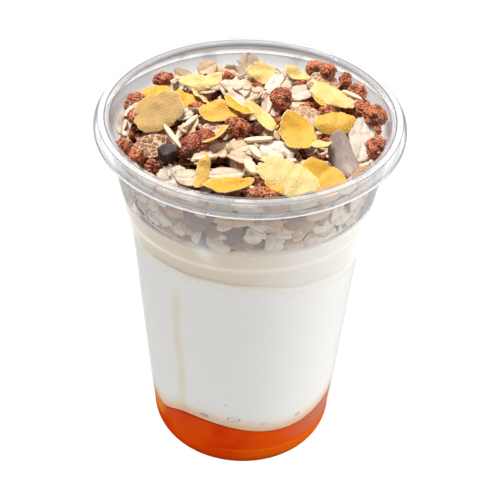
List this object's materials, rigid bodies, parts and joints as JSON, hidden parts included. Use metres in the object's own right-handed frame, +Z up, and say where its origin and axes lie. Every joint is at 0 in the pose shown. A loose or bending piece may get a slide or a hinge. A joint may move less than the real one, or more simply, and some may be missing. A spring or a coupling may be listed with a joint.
{
  "type": "yogurt cup",
  "caption": "Clear tapered cup of yogurt over fruit syrup, with a clear insert of muesli in its mouth.",
  "frame": {"origin": "centre of the standing ring's plane, on the cup's axis", "axes": "+Z up along the cup's axis; -Y is the front that the picture shows, +X its right"},
  "size_m": [0.0948, 0.0948, 0.1238],
  "materials": {
    "clear_plastic": "clear, glossy",
    "muesli": "dry and matte",
    "syrup": "wet, glossy",
    "yogurt": "smooth, moist"
  },
  "bodies": {
    "root": {"cup": "clear_plastic", "insert": "clear_plastic", "muesli": "muesli", "syrup": "syrup", "yogurt": "yogurt"}
  },
  "joints": []
}
